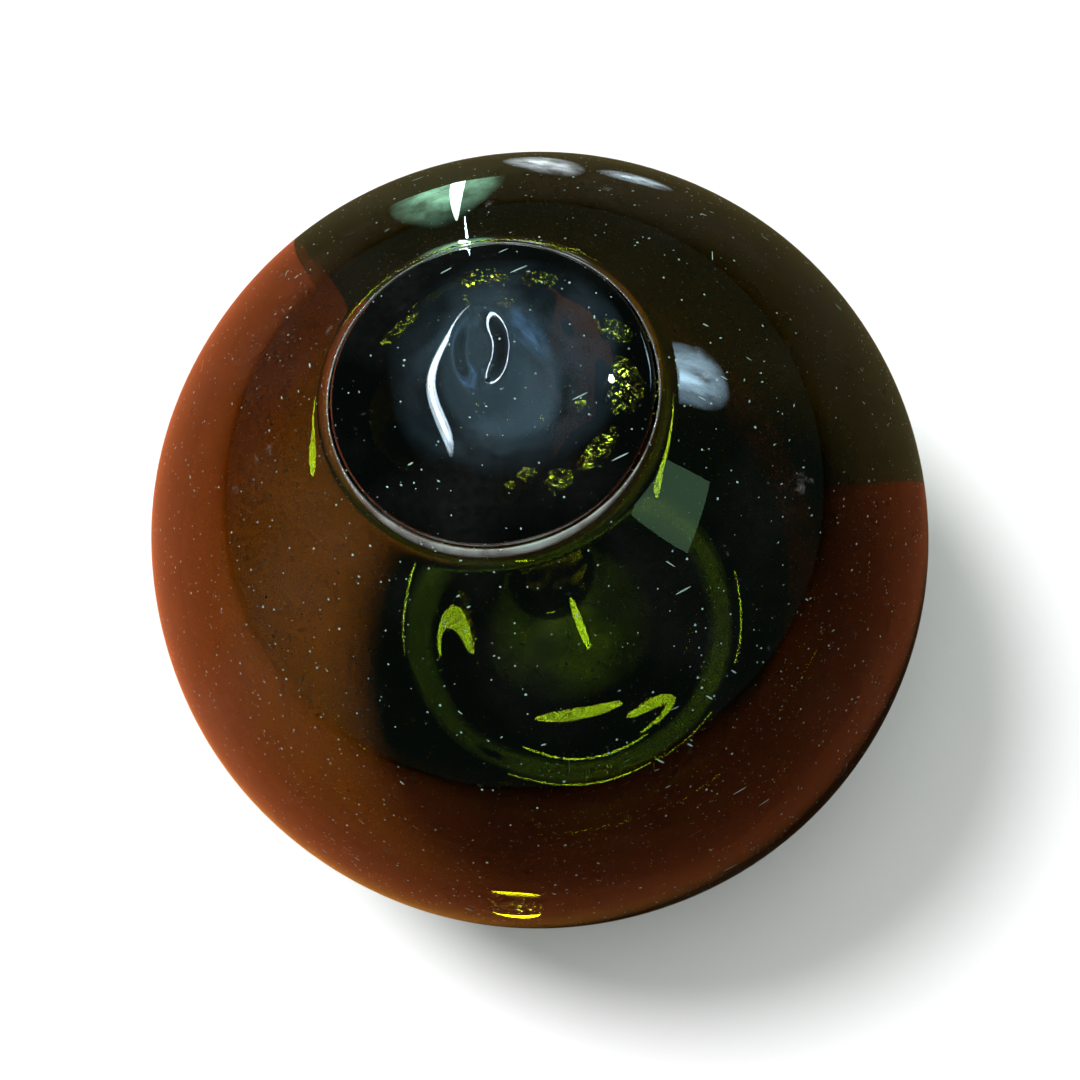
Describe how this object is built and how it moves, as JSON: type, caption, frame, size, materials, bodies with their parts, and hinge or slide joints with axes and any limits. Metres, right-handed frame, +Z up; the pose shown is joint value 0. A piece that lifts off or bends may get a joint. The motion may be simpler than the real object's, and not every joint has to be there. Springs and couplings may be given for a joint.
{
  "type": "blown glass fishing float ball",
  "caption": "Hollow blown bottle-glass float ball, closed on top by a round fused seal button, resting on a small flat spot.",
  "frame": {"origin": "middle of the small flat spot under the ball, on the surface that it rests on", "axes": "+Z up along the float's axis, through the middle of the seal button"},
  "size_m": [0.13, 0.13, 0.1313],
  "materials": {
    "bottle_glass": "dark olive-amber bottle glass, fire polished, with fine dust, seeds and short scratches",
    "seal_glass": "the same glass in a thick lump, nearly black-green, fire polished, with dust"
  },
  "bodies": {
    "root": {"blown_ball": "bottle_glass", "seal_button": "seal_glass"}
  },
  "joints": []
}
